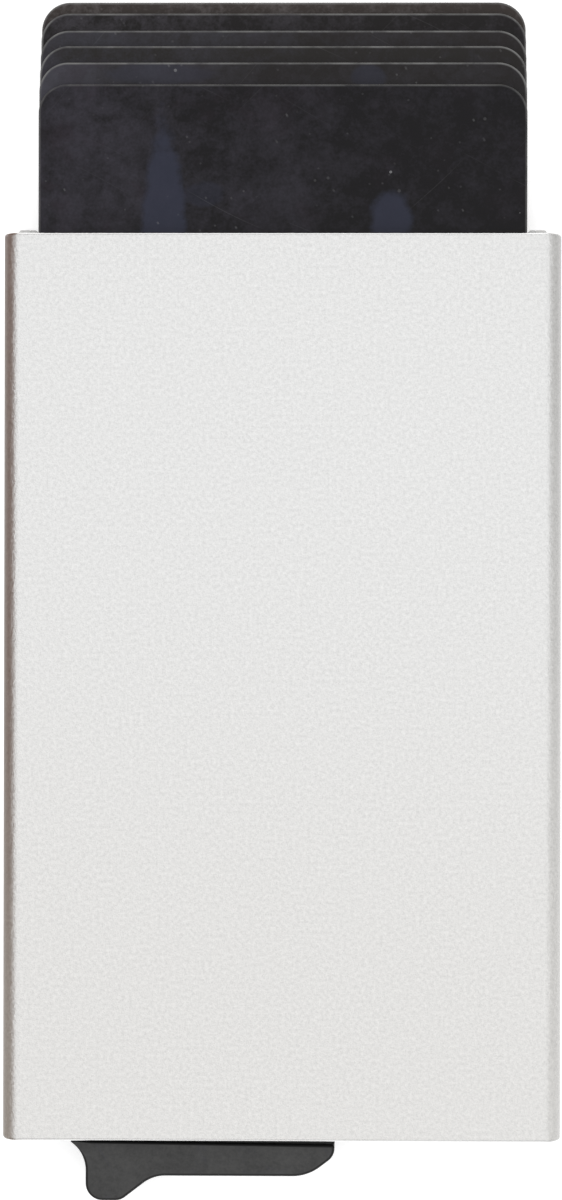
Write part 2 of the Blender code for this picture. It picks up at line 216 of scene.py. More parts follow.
def makeSmearGroup():
    # An ellipse narrowed to its top by a taper, with its rim pushed about by noise and left soft
    shape = smearShape
    tree, given, gives = startGroup("softSmear", ["Mask"],
                                    Place=None, Centre=None, Scale=(500, 500, 0), Taper=0.0)
    local = vectorOf(tree, "SUBTRACT", given["Place"], given["Centre"])
    parts = addNode(tree, "SeparateXYZ", {0: vectorOf(tree, "MULTIPLY", local, given["Scale"])}).outputs
    narrow = mathOf(tree, "MAXIMUM", scaleShift(tree, parts[1], given["Taper"], 1.0), shape["narrowest"])
    away = lengthOf(tree, times(tree, parts[0], narrow), parts[1])
    cloud = noiseOf(tree, given["Place"], shape["cloud"], detail=4.0, roughness=0.65)
    pushed = plus(tree, away, times(tree, cloud, shape["push"]))
    tree.links.new(smoothRamp(tree, pushed, shape["outer"], shape["inner"]), gives["Mask"])
    return tree


def makeRimGroup():
    # Distance to a rounded rectangle's outline, negative inside: |p - centre| less the straight
    # half sides, its positive part's length, plus the inner part, less the corner radius
    tree, given, gives = startGroup("cardRim", ["Distance"],
                                    Place=None, Centre=None, Straight=None, Corner=0.003)
    size = vectorOf(tree, "ABSOLUTE", vectorOf(tree, "SUBTRACT", given["Place"], given["Centre"]))
    parts = addNode(tree, "SeparateXYZ", {0: vectorOf(tree, "SUBTRACT", size, given["Straight"])}).outputs
    overX = mathOf(tree, "MAXIMUM", parts[0], 0.0)
    overY = mathOf(tree, "MAXIMUM", parts[1], 0.0)
    inner = mathOf(tree, "MINIMUM", mathOf(tree, "MAXIMUM", parts[0], parts[1]), 0.0)
    total = plus(tree, lengthOf(tree, overX, overY), inner)
    tree.links.new(minus(tree, total, given["Corner"]), gives["Distance"])
    return tree


fineGrain = makeGrainGroup()
dustSpecks = makeSpeckGroup()
softBlotch = makeBlotchGroup()
hairScratches = makeScratchGroup()
softSmear = makeSmearGroup()
cardRim = makeRimGroup()
print("node groups ready")


def grainOf(tree, place, frequency, contrast):
    return useGroup(tree, fineGrain, Place=place, Frequency=frequency, Contrast=contrast)


def speckMask(tree, place, frequency, radius, share):
    return useGroup(tree, dustSpecks, Place=place, Frequency=frequency, Radius=radius, Share=share)["Mask"]


def blotchMask(tree, place, frequency, low, high):
    return useGroup(tree, softBlotch, Place=place, Frequency=frequency, Low=low, High=high)["Mask"]


def scratchMask(tree, place, across, along, width, level):
    made = useGroup(tree, hairScratches, Place=place, Across=across, Along=along, Width=width, Level=level)
    return made["Mask"]


def startMaterial(name, **sockets):
    material = bpy.data.materials.new(name)
    material.use_nodes = True
    tree = material.node_tree
    shader = tree.nodes["Principled BSDF"]
    for label, value in sockets.items():
        shader.inputs[label.replace("_", " ")].default_value = value
    place = addNode(tree, "TexCoord").outputs["Object"]
    return material, tree, shader, place


def setColour(tree, shader, colour):
    tree.links.new(colour, shader.inputs["Base Color"])


def setRoughness(tree, shader, value):
    tree.links.new(value, shader.inputs["Roughness"])


def setBump(tree, shader, height, distance):
    bump = addNode(tree, "Bump", {"Height": height, "Distance": distance, "Strength": 1.0})
    tree.links.new(bump.outputs[0], shader.inputs["Normal"])


# grain is a frequency and a contrast; marks are a frequency, and the noise where they start and are full
caseLook = {
    "grain": (2500.0, 3.2), "dark": (0.706, 0.706, 0.702), "light": (0.868, 0.868, 0.863),
    "footTint": (0.969, 0.960, 0.949), "tintFrom": 30 * mm, "tintTo": -40 * mm,
    # The two cut colours are partly bare metal and partly a painted highlight, stronger at the mouth
    "mouthCut": (0.90, 0.90, 0.895), "footCut": (0.79, 0.79, 0.785),
    "cutFrom": 49.74 * mm, "cutRun": 0.04 * mm, "smoothest": 0.34, "roughest": 0.44,
    "marks": (38.0, 0.50, 0.72), "marksSmoother": 0.03, "cutSmoother": 0.14, "bump": 0.00013
}


def makeCaseMaterial():
    # Bead blasted and anodised faces, a touch warmer to the foot, and smoother cut rims. The cut rims'
    # lighter colour is partly bare metal and partly a painted highlight, stronger at the mouth
    look = caseLook
    material, tree, shader, place = startMaterial("blastedAlloy", Metallic=1.0)
    grain = grainOf(tree, place, *look["grain"])
    colour = blendColours(tree, grain["Tone"], look["dark"], look["light"])
    along = addNode(tree, "SeparateXYZ", {0: place}).outputs[1]
    warmth = smoothRamp(tree, along, look["tintFrom"], look["tintTo"])
    tint = blendColours(tree, warmth, (1.0, 1.0, 1.0), look["footTint"])
    colour = vectorOf(tree, "MULTIPLY", colour, tint)
    away = mathOf(tree, "ABSOLUTE", along)
    cut = smoothRamp(tree, away, look["cutFrom"], look["cutFrom"] + look["cutRun"])
    atMouth = mathOf(tree, "GREATER_THAN", along, 0.0)
    # The cut rims' colours: bare metal with a painted highlight, lighter at the mouth than at the foot
    cutAndHighlightColour = blendColours(tree, atMouth, look["footCut"], look["mouthCut"])
    setColour(tree, shader, blendColours(tree, cut, colour, cutAndHighlightColour))
    rough = smoothRamp(tree, grain["Tone"], 0.0, 1.0, look["smoothest"], look["roughest"])
    marks = blotchMask(tree, place, *look["marks"])
    rough = minus(tree, rough, times(tree, marks, look["marksSmoother"]))
    rough = minus(tree, rough, times(tree, cut, look["cutSmoother"]))
    setRoughness(tree, shader, rough)
    setBump(tree, shader, times(tree, grain["Height"], minus(tree, 1.0, cut)), look["bump"])
    return material


# cloud, clots, plumClouds and the patches that break up the painted edge highlight are a frequency, and the noise
# where they start and are full; scratches and ticks give the directions across and along them, their width and
# how few there are; specks and dust give a frequency, a radius and the share of cells that has one
cardLook = {
    "plum": (0.022, 0.012, 0.020), "smear": (0.024, 0.027, 0.048), "speck": (0.34, 0.34, 0.35),
    # edge is the colour of a painted highlight on the outer band of each card's rim; core is the colour of the
    # card's sides
    "edge": (0.165, 0.164, 0.163), "core": (0.095, 0.082, 0.071),
    "edgeFrom": -0.30 * mm, "edgeTo": -0.10 * mm, "sideFrom": -0.03 * mm, "sideTo": -0.01 * mm,
    "patternStep": (0.031, 0.017), "grain": (1300.0, 2.8),
    "hazeLeft": -26 * mm, "leastHaze": 0.16, "cloud": (70.0, 0.36, 0.74), "cloudHaze": 0.7, "evenHaze": 0.25,
    "clots": (330.0, 0.30, 0.70), "grainShare": 0.55, "clotShare": 0.48, "middleTone": 0.52,
    "leanMottle": 0.36, "evenMottle": 0.64,
    "plumClouds": (190.0, 0.53, 0.68), "leanPlum": 0.20, "evenPlum": 0.04,
    "scratches": [((260.0, 520.0, 0.0), (62.0, -31.0, 0.0), 0.020, 0.60),
                  ((-410.0, 380.0, 0.0), (38.0, 41.0, 0.0), 0.016, 0.62)],
    "ticks": ((700.0, 420.0, 0.0), (-640.0, 1180.0, 0.0), 0.085, 0.67),
    "scratchStrength": 0.055, "tickGain": 2.4,
    "specks": (420.0, 0.062, 0.040), "speckStrength": 0.50, "dust": (640.0, 0.100, 0.120),
    "dustStrength": 0.17, "chips": (260.0, 0.34, 0.66), "chipWear": 0.65, "evenWear": 0.35,
    "smoothest": 0.30, "roughest": 0.42, "wornRougher": 0.12, "bump": 0.00002
}
# For each card: ink, haze, where the haze ends to the right, mottling, and how strong the painted highlight along
# its edge is
cardTones = {
    1: ((0.0026, 0.0019, 0.0032), (0.0252, 0.0227, 0.0314), 20 * mm, 1.05, 0.55),
    2: ((0.0112, 0.0093, 0.0095), (0.0482, 0.0468, 0.0603), 4 * mm, 0.50, 1.0),
    3: ((0.0138, 0.0119, 0.0112), (0.0336, 0.0323, 0.0429), 4 * mm, 1.00, 1.0),
    4: ((0.0140, 0.0114, 0.0115), (0.0360, 0.0352, 0.0453), 20 * mm, 0.80, 1.0),
    5: ((0.0068, 0.0053, 0.0058), (0.0310, 0.0278, 0.0336), 20 * mm, 1.65, 0.9),
    6: ((0.0355, 0.0280, 0.0250), (0.0830, 0.0720, 0.0710), 20 * mm, 2.15, 0.9)
}
# For each smear: its middle and its half size in millimetres, its taper and its strength
cardSmears = {
    1: [((-13.2, 50.0), (2.8, 13.4), 0.35, 0.78), ((12.0, 51.6), (2.6, 3.4), 0.0, 0.75),
        ((-8.8, 54.4), (2.4, 1.5), 0.0, 0.30)],
    2: [((-14.0, 67.8), (6.5, 1.3), 0.0, 0.30), ((9.6, 67.4), (2.0, 1.5), 0.0, 0.40)]
}


def makeCardMaterial(number, low, high, corner):
    # Satin black print: haze that is stronger at the left, smears, dust, and a painted highlight along the edge,
    # in patches
    look = cardLook
    ink, hazy, hazeEnd, mottling, edgeHighlightShare = cardTones[number]
    stepX, stepY = look["patternStep"]
    material, tree, shader, place = startMaterial("satinCard%d" % number, Specular_IOR_Level=0.20)
    moved = vectorOf(tree, "ADD", place, (stepX * number, stepY * number, 0.0))
    half = (high - low) / 2
    rim = useGroup(tree, cardRim, Place=place, Centre=tuple((low + high) / 2), Corner=corner,
                   Straight=(half.x - corner, half.y - corner, 0.0))["Distance"]
    grain = grainOf(tree, moved, *look["grain"])
    across = addNode(tree, "SeparateXYZ", {0: place}).outputs[0]
    lean = smoothRamp(tree, across, hazeEnd, look["hazeLeft"], look["leastHaze"], 1.0)
    cloud = blotchMask(tree, moved, *look["cloud"])
    haze = times(tree, lean, scaleShift(tree, cloud, look["cloudHaze"], look["evenHaze"]))
    clots = blotchMask(tree, moved, *look["clots"])
    uneven = plus(tree, times(tree, grain["Tone"], look["grainShare"]), times(tree, clots, look["clotShare"]))
    strength = times(tree, scaleShift(tree, lean, look["leanMottle"], look["evenMottle"]), mottling)
    mottle = times(tree, minus(tree, uneven, look["middleTone"]), strength)
    colour = blendColours(tree, plus(tree, haze, mottle), ink, hazy)
    plum = blotchMask(tree, moved, *look["plumClouds"])
    plum = times(tree, plum, scaleShift(tree, lean, look["leanPlum"], look["evenPlum"]))
    colour = blendColours(tree, plum, colour, look["plum"])
    for centre, size, taper, smearStrength in cardSmears.get(number, []):
        smear = useGroup(tree, softSmear, Place=place, Centre=(centre[0] * mm, centre[1] * mm, 0.0),
                         Scale=(1 / (size[0] * mm), 1 / (size[1] * mm), 0.0), Taper=taper)["Mask"]
        colour = blendColours(tree, times(tree, smear, smearStrength), colour, look["smear"])
    first, second = [scratchMask(tree, moved, *values) for values in look["scratches"]]
    ticks = times(tree, scratchMask(tree, moved, *look["ticks"]), look["tickGain"])
    lines = mathOf(tree, "MAXIMUM", mathOf(tree, "MAXIMUM", first, second), ticks)
    colour = blendColours(tree, times(tree, lines, look["scratchStrength"]), colour, look["speck"])
    specks = times(tree, speckMask(tree, moved, *look["specks"]), look["speckStrength"])
    dust = times(tree, speckMask(tree, moved, *look["dust"]), look["dustStrength"])
    colour = blendColours(tree, mathOf(tree, "MAXIMUM", specks, dust), colour, look["speck"])
    # Painted highlight: the outer band of the rim is made lighter in patches, standing in for light caught by the
    # edge
    chips = scaleShift(tree, blotchMask(tree, moved, *look["chips"]), look["chipWear"], look["evenWear"])
    paintedEdgeHighlight = times(tree, smoothRamp(tree, rim, look["edgeFrom"], look["edgeTo"], 0.0, edgeHighlightShare), chips)
    colour = blendColours(tree, paintedEdgeHighlight, colour, look["edge"])
    side = smoothRamp(tree, rim, look["sideFrom"], look["sideTo"])
    setColour(tree, shader, blendColours(tree, side, colour, look["core"]))
    rough = smoothRamp(tree, haze, 0.0, 1.0, look["smoothest"], look["roughest"])
    setRoughness(tree, shader, plus(tree, rough, times(tree, paintedEdgeHighlight, look["wornRougher"])))
    setBump(tree, shader, grain["Height"], look["bump"])
    return material


# What the plastics share: their clouds and marks, as on the cards, and how strong each is
plasticMarks = {
    "contrast": 3.0, "cloud": (260.0, 0.36, 0.68), "grainShare": 0.6, "cloudShare": 0.4,
    "lines": ((500.0, 300.0, 200.0), (-60.0, 90.0, 0.0), 0.05, 0.55), "lineStrength": 0.25,
    "smudge": (150.0, 0.52, 0.66), "smudgeStrength": 0.45, "rimFull": 0.35, "roughSpread": 0.06
}


def makePlasticMaterial(name, look):
    # Moulded plastic with a spark grain and a slow change of tone. A look may hold rubbed, a colour for
    # faint marks and smudges, and rim, a painted shade for the rounded edges, where the mesh carries rimShade
    marks = plasticMarks
    material, tree, shader, place = startMaterial(name, Specular_IOR_Level=0.22)
    grain = grainOf(tree, place, look["grain"], marks["contrast"])
    cloud = blotchMask(tree, place, *marks["cloud"])
    tone = plus(tree, times(tree, grain["Tone"], marks["grainShare"]),
                times(tree, cloud, marks["cloudShare"]))
    colour = blendColours(tree, tone, look["dark"], look["light"])
    if "rubbed" in look:
        lines = times(tree, scratchMask(tree, place, *marks["lines"]), marks["lineStrength"])
        smudge = times(tree, blotchMask(tree, place, *marks["smudge"]), marks["smudgeStrength"])
        colour = blendColours(tree, mathOf(tree, "MAXIMUM", lines, smudge), colour, look["rubbed"])
    # rim is a painted shade: the rounded edges are darkened where they turn away from the light
    if "rim" in look:
        edge = addNode(tree, "Attribute", attribute_name="rimShade").outputs["Fac"]
        colour = blendColours(tree, smoothRamp(tree, edge, 0.0, marks["rimFull"]), colour, look["rim"])
    setColour(tree, shader, colour)
    smoothest, roughest = look["rough"] - marks["roughSpread"], look["rough"] + marks["roughSpread"]
    setRoughness(tree, shader, smoothRamp(tree, tone, 0.0, 1.0, smoothest, roughest))
    setBump(tree, shader, grain["Height"], look["bump"])
    return material


# Outlines, and plates made from them

def arcPoints(centreX, centreY, radius, start, end, count):
    # Points of a circle: centre + radius * (cos, sin) of angles from start to end
    turn = np.linspace(start, end, count + 1)
    return np.stack([centreX + radius * np.cos(turn), centreY + radius * np.sin(turn)], axis=1)


def roundCorner(before, corner, after, radius, count):
    # A circle tangent to both sides of a corner: its centre lies on the bisector
    before, corner, after = np.array(before, float), np.array(corner, float), np.array(after, float)
    toBefore = (before - corner) / np.linalg.norm(before - corner)
    toAfter = (after - corner) / np.linalg.norm(after - corner)
    half = math.acos(float(toBefore @ toAfter)) / 2
    middle = toBefore + toAfter
    centre = corner + middle / np.linalg.norm(middle) * radius / math.sin(half)
    first = corner + toBefore * radius / math.tan(half) - centre
    last = corner + toAfter * radius / math.tan(half) - centre
    start = math.atan2(first[1], first[0])
    sweep = math.atan2(first[0] * last[1] - first[1] * last[0], float(first @ last))
    return arcPoints(centre[0], centre[1], radius, start, start + sweep, count)


def shrinkLoop(points, distance):
    # Each point of an anticlockwise loop moves inwards along the mean normal of its two sides
    ahead = np.roll(points, -1, axis=0) - points
    ahead = ahead / np.linalg.norm(ahead, axis=1)[:, None]
    behind = np.roll(ahead, 1, axis=0)
    normal = np.stack([-(ahead[:, 1] + behind[:, 1]), ahead[:, 0] + behind[:, 0]], axis=1)
    lean = 1 + np.sum(ahead * behind, axis=1)
    return points + normal * np.reshape(distance / lean, (-1, 1))


meshLimits = {"samePoint": 1e-7, "sameHeight": 1e-6, "crispAngle": 32.0}


def dropRepeats(points):
    return points[np.linalg.norm(points - np.roll(points, 1, axis=0), axis=1) > meshLimits["samePoint"]]


def easeLevels(back, front, ease, steps, lip):
    # Heights and insets of a plate's wall: a flat lip, a quarter round, the wall, and back again
    turn = np.linspace(0, math.pi / 2, steps + 1)
    heights = np.concatenate([[0.0], ease * (1 - np.cos(turn))])
    insets = np.concatenate([[ease + lip], ease * (1 - np.sin(turn))])
    return np.concatenate([back + heights, front - heights[::-1]]), np.concatenate([insets, insets[::-1]])


def ringQuads(ringCount, pointCount, joined=False):
    # Quads between neighbouring closed rings; joined also ties the last ring to the first
    lastRing = ringCount if joined else ringCount - 1
    i, j = np.meshgrid(np.arange(lastRing), np.arange(pointCount), indexing="ij")
    nextI, nextJ = (i + 1) % ringCount, (j + 1) % pointCount
    return np.stack([i * pointCount + j, i * pointCount + nextJ, nextI * pointCount + nextJ,
                     nextI * pointCount + j], axis=-1).reshape(-1, 4)


def carryLoops(loops, places, joined=False):
    # Loops in x and z, each set at its own place along y, and tied ring to ring
    rings = [np.column_stack([loop[:, 0], np.full(len(loop), y), loop[:, 1]])
             for loop, y in zip(loops, places)]
    return np.concatenate(rings), ringQuads(len(rings), len(rings[0]), joined)


def plateArrays(outline, back, front, ease, steps=6, lip=0.06 * mm, hole=None, share=1.0):
    # An outline carried up in z with rounded rims; a hole is a second loop with straight walls.
    # share can be one number for each point, which thins the rounding there. The third array
    # goes from 0 on the flats to 1 on the wall
    levels, insets = easeLevels(back, front, ease, steps, lip)
    rings = [np.column_stack([shrinkLoop(outline, cut * share), np.full(len(outline), height)])
             for height, cut in zip(levels, insets)]
    points = np.concatenate(rings)
    quads = ringQuads(len(rings), len(outline))
    shade = np.repeat(1 - np.minimum(insets / ease, 1), len(outline))
    if hole is not None:
        quads = np.concatenate([quads, ringQuads(2, len(hole)) + len(points)])
        walls = [np.column_stack([hole, np.full(len(hole), height)]) for height in (back, front)]
        points = np.concatenate([points, *walls])
        shade = np.concatenate([shade, np.zeros(2 * len(hole))])
    return points, quads, shade


def addObject(name, data):
    made = bpy.data.objects.new(name, data)
    bpy.context.scene.collection.objects.link(made)
    return made


def makePiece(name, parts, material, body, stands, axis=2):
    # parts is a list of (points, quads, shade); a part's open rims at both ends of an axis are
    # filled flat
    mesh = bpy.data.meshes.new(name)
    builder = bmesh.new()
    for points, quads, shade in parts:
        mesh.clear_geometry()
        mesh.from_pydata(points.tolist(), [], quads.tolist())
        builder.from_mesh(mesh)
        for end in (points[:, axis].min(), points[:, axis].max()):
            rims = [edge for edge in builder.edges
                    if edge.is_boundary and abs(edge.verts[0].co[axis] - end) < meshLimits["sameHeight"]]
            if rims:
                bmesh.ops.triangle_fill(builder, use_beauty=True, use_dissolve=False, edges=rims)
    bmesh.ops.recalc_face_normals(builder, faces=builder.faces)
    builder.to_mesh(mesh)
    builder.free()
    mesh.shade_smooth()
    mesh.set_sharp_from_angle(angle=math.radians(meshLimits["crispAngle"]))
    shades = np.concatenate([shade for points, quads, shade in parts]).astype(np.float32)
    mesh.attributes.new("rimShade", "FLOAT", "POINT").data.foreach_set("value", shades)
    mesh.materials.append(material)
    piece = addObject(name, mesh)
    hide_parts(*stands)
    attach(piece, body)


caseSizes = {
    "wall": 1.0 * mm, "sideBulge": 2.0 * mm, "boreBulge": 1.0 * mm, "rimRound": 0.28 * mm,
    "sideInset": 0.08 * mm, "support": 0.10 * mm, "boreCut": 0.22 * mm, "lip": 0.2 * mm,
    "roundPoints": 7, "sideSteps": 40
}


def sectionLoop(halfWidth, bulge, back, front):
    # Two flat faces joined by half ellipses, x = flat + bulge * cos and z = middle + half height * sin;
    # a point stands just inside each end of the flats, which keeps the round sides' shading off them
    flat = halfWidth - bulge
    turn = np.linspace(-math.pi / 2, math.pi / 2, caseSizes["sideSteps"] + 1)
    across = flat + bulge * np.cos(turn)
    height = (back + front) / 2 + (front - back) / 2 * np.sin(turn)
    lip = flat - caseSizes["lip"]
    right = np.concatenate([[[lip, back]], np.column_stack([across, height]), [[lip, front]]])
    return np.concatenate([right, right[::-1] * [-1, 1]])


def makeCase(material):
    # The section carried along y: over the outside, a rounded rim, the bore and back to the foot.
    # A rim turns through a from 0 to 90 degrees: y = end - round * (1 - sin a), and the faces come
    # in by round * (1 - cos a)
    size = caseSizes
    low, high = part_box("case_sleeve")
    halfWidth, foot, rim, back, front = high.x, low.y, high.y, low.z, high.z
    wall, radius, cut = size["wall"], size["rimRound"], size["boreCut"]
    rounded = []
    for turn in np.linspace(0, math.pi / 2, size["roundPoints"]):
        sink = radius * (1 - math.cos(turn))
        narrower = halfWidth - size["sideInset"] * (1 - math.cos(turn))
        loop = sectionLoop(narrower, size["sideBulge"], back + sink, front - sink)
        rounded.append((loop, radius * (1 - math.sin(turn))))
    outer = rounded[0][0]
    boreWidth = halfWidth - wall
    bore = sectionLoop(boreWidth, size["boreBulge"], back + wall, front - wall)
    boreCut = sectionLoop(boreWidth + cut, size["boreBulge"], back + wall - cut, front - wall + cut)
    stations = [(outer, foot + radius + size["support"]), (outer, rim - radius - size["support"])]
    stations += [(loop, rim - inside) for loop, inside in rounded]
    stations += [(boreCut, rim), (bore, rim - cut), (bore, foot + cut), (boreCut, foot)]
    stations += [(loop, foot + inside) for loop, inside in rounded[::-1]]
    points, quads = carryLoops(*zip(*stations), joined=True)
    parts = [(points, quads, np.zeros(len(points)))]
    makePiece("caseShell", parts, material, "case", ["case_sleeve"])


cardSizes = {"corner": 3.18 * mm, "rimRound": 0.13 * mm, "cornerSteps": 24, "rimSteps": 5}


def makeCards():
    # A rounded rectangle with softened rims, one for each card of the model
    size = cardSizes
    radius = size["corner"]
    for number in cardTones:
        node = "card_%d" % number
        low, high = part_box(node)
        left, right, foot, top = low.x + radius, high.x - radius, low.y + radius, high.y - radius
        outline = np.concatenate([
            arcPoints(x, y, radius, quarter * math.pi / 2, (quarter + 1) * math.pi / 2, size["cornerSteps"])
            for quarter, (x, y) in enumerate(((right, top), (left, top), (left, foot), (right, foot)))])
        part = plateArrays(outline, low.z, high.z, size["rimRound"], steps=size["rimSteps"])
        material = makeCardMaterial(number, low, high, radius)
        makePiece("cardLeaf%d" % number, [part], material, node, [node])


# rim is a painted shade for the lever's rounded edges
leverLook = {
    "dark": (0.039, 0.039, 0.039), "light": (0.069, 0.069, 0.068), "rubbed": (0.053, 0.053, 0.073),
    "rim": (0.014, 0.014, 0.014), "rough": 0.52, "grain": 1500.0, "bump": 0.00004
}
leverSizes = {
    "armHeight": 6.1 * mm, "tipRound": 1.0 * mm, "rootRound": 5.4 * mm, "rootTurn": 60.0,
    "topStart": 5.0 * mm, "armFoot": -3.8 * mm, "stepDepth": 0.92 * mm, "stepEase": 0.04 * mm,
    "stepLip": 0.02 * mm, "hub": 2.9 * mm, "bore": 1.1 * mm, "setback": 2.4 * mm,
    "halfWeb": 1.8 * mm, "webEase": 0.4 * mm, "webDrop": 1.5 * mm, "webEnd": 31.3 * mm,
    "webInset": 0.04 * mm, "flareEnd": 60.0, "rimDrop": 0.6 * mm
}
leverSteps = {"nose": 18, "root": 18, "tip": 14, "ease": 2, "hub": 24, "flare": 14, "rim": 60, "bore": 48}
thumbSizes = {
    "halfDepth": 2.6 * mm, "ease": 0.34 * mm, "side": 4.12 * mm, "gapLeft": 0.18 * mm,
    "gapRight": 0.56 * mm, "flare": 3.8 * mm, "flareDrop": 3.47 * mm, "flareTop": 53.0,
    "tipRound": 0.10 * mm, "tipThin": 0.20, "tipRun": 2.4 * mm, "hookDrop": 6.8 * mm,
    "hookFoot": 3.86 * mm, "hookSlope": 37.5, "heel": 1.9 * mm, "toe": 1.8 * mm,
    "throat": 4.0 * mm, "drop": 4.05 * mm, "chin": 28.66 * mm, "chinRound": 5.0 * mm,
    "end": 31.62 * mm, "shoulderDrop": 1.80 * mm, "shoulderRound": 1.7 * mm, "topRound": 0.34 * mm
}
thumbSteps = {"tip": 8, "flare": 16, "hook": 14, "shoulder": 12, "top": 8}


def nosePoints(reach, turn, armHeight):
    # Involute of a circle of radius reach, raised by the arm's height
    rise = armHeight + reach * turn
    across = reach * np.cos(turn) + rise * np.sin(turn)
    return np.stack([across, rise * np.cos(turn) - reach * np.sin(turn)], axis=-1)


def turnPoints(points, angle):
    # Turned about the origin by angle: (x cos - y sin, x sin + y cos)
    c, s = math.cos(angle), math.sin(angle)
    return points @ np.array([[c, s], [-s, c]])


def thumbOutline(foot):
    # The part outside the foot, anticlockwise from its top left: a flare, the hook's heel and toe,
    # the throat, the chin and the shoulder, and a top side that leans a little off the foot. The last
    # point lies on that side near the flare's tip, where the rounding starts to thin
    size, steps = thumbSizes, thumbSteps
    side, hookY, lowY = size["side"], foot - size["hookDrop"], foot - size["drop"]
    topLeft, topRight = foot - size["gapLeft"], foot - size["gapRight"]
    flareX, flareY, turned = side - size["flare"], foot - size["flareDrop"], math.radians(size["flareTop"])
    flare = arcPoints(flareX, flareY, size["flare"], turned, 0.0, steps["flare"])
    rise = (topLeft - flare[0, 1]) / math.cos(turned)
    tip = (flare[0, 0] - rise * math.sin(turned), topLeft)
    heel, toe = (side, hookY), (side + size["hookFoot"], hookY)
    throat = (toe[0] + (lowY - hookY) / math.tan(math.radians(size["hookSlope"])), lowY)
    chin, shoulder = (size["chin"], lowY), (size["end"], foot - size["shoulderDrop"])
    top = (size["end"], topRight)
    ahead = np.subtract(top, tip)
    inner = tip + ahead * (size["tipRun"] / np.linalg.norm(ahead))
    return np.concatenate([
        roundCorner(top, tip, tuple(flare[0]), size["tipRound"], steps["tip"]),
        flare,
        roundCorner((side, flareY), heel, toe, size["heel"], steps["hook"]),
        roundCorner(heel, toe, throat, size["toe"], steps["hook"]),
        roundCorner(toe, throat, chin, size["throat"], steps["hook"]),
        roundCorner(throat, chin, shoulder, size["chinRound"], steps["hook"]),
        roundCorner(chin, shoulder, top, size["shoulderRound"], steps["shoulder"]),
        roundCorner(shoulder, top, tip, size["topRound"], steps["top"]),
        [inner]])


def webOutline(foot, shortReach, swing):
    # About the pivot, anticlockwise: the hub, a flare that follows the thumb piece's, its edge under
    # the thumb piece, and a round rim a little short of the shortest step's nose
    size, steps, thumb = leverSizes, leverSteps, thumbSizes
    noseEnd = nosePoints(shortReach, swing, size["armHeight"])
    radius = float(np.hypot(*noseEnd)) - size["setback"]
    flareRadius = thumb["flare"] + size["webInset"]
    flareFoot = math.asin((thumb["flareDrop"] - size["webDrop"]) / flareRadius)
    flare = arcPoints(thumb["side"] - thumb["flare"], foot - thumb["flareDrop"], flareRadius, flareFoot,
                      math.radians(size["flareEnd"]), steps["flare"])
    rimStart = math.asin((foot - size["rimDrop"]) / radius)
    rimEnd = swing + math.asin((noseEnd[1] - size["tipRound"]) / radius)
    spread = math.acos(size["hub"] / float(np.hypot(*flare[-1])))
    hubEnd = 2 * math.pi + math.atan2(flare[-1][1], flare[-1][0]) - spread
    return np.concatenate([
        arcPoints(0.0, 0.0, size["hub"], math.pi / 2 + rimEnd, hubEnd, steps["hub"]),
        flare[::-1],
        [[size["webEnd"], foot - size["webDrop"]]],
        arcPoints(0.0, 0.0, radius, rimStart, rimEnd, steps["rim"])])


def stepOutline(reach, swing):
    # One step about the pivot: its root, its level top, the involute nose and a round tip, drawn
    # with the lever shut and then turned home
    size, steps = leverSizes, leverSteps
    root = arcPoints(0.0, 0.0, size["rootRound"], math.asin(size["armFoot"] / size["rootRound"]),
                     math.radians(size["rootTurn"]), steps["root"])
    nose = nosePoints(reach, np.linspace(0.0, swing, steps["nose"] + 1), size["armHeight"])
    tipX = nose[-1, 0] - size["tipRound"] * math.sin(swing)
    tipY = nose[-1, 1] - size["tipRound"] * math.cos(swing)
    tip = arcPoints(tipX, tipY, size["tipRound"], math.pi / 2 - swing, -math.pi / 2, steps["tip"])
    clockwise = np.concatenate([root, [[size["topStart"], size["armHeight"]]], nose, tip[1:]])
    return turnPoints(dropRepeats(clockwise[::-1]), swing)


def makeLever(material):
    # The thumb piece, the web that carries it, with the pin's bore, and one step for each card
    size, thumb = leverSizes, thumbSizes
    joint = next(j for j in frame["joints"] if j["name"] == "lever_swing")
    pivotX, pivotY, middle = joint["pos_m"]
    home = np.array([pivotX, pivotY])
    swing = -math.radians(joint["range_deg"][0])
    reaches = [c["ratio"] for c in frame["record"]["behaviour"]["couplings"]]
    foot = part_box("case_sleeve")[0].y - pivotY

    outline = dropRepeats(thumbOutline(foot)) + home
    tip = outline[thumbSteps["tip"] // 2]
    share = np.clip(np.linalg.norm(outline - tip, axis=1) / thumb["tipRun"], thumb["tipThin"], 1.0)
    depth = thumb["halfDepth"]
    parts = [plateArrays(outline, middle - depth, middle + depth, thumb["ease"], share=share)]

    outline = webOutline(foot, reaches[0], swing) + home
    bore = arcPoints(0.0, 0.0, size["bore"], 0.0, 2 * math.pi, leverSteps["bore"])[:-1] + home
    depth = size["halfWeb"]
    parts.append(plateArrays(outline, middle - depth, middle + depth, size["webEase"], hole=bore))

    for number, reach in enumerate(reaches, start=1):
        low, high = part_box("card_%d" % number)
        back = (low.z + high.z) / 2 - size["stepDepth"] / 2
        parts.append(plateArrays(stepOutline(reach, swing) + home, back, back + size["stepDepth"],
                                 size["stepEase"], steps=leverSteps["ease"], lip=size["stepLip"]))
    makePiece("thumbLever", parts, material, "lever", ["lever"])


carrierLook = {
    "dark": (0.600, 0.595, 0.585), "light": (0.720, 0.715, 0.705), "rough": 0.66, "grain": 2600.0,
    "bump": 0.00004
}
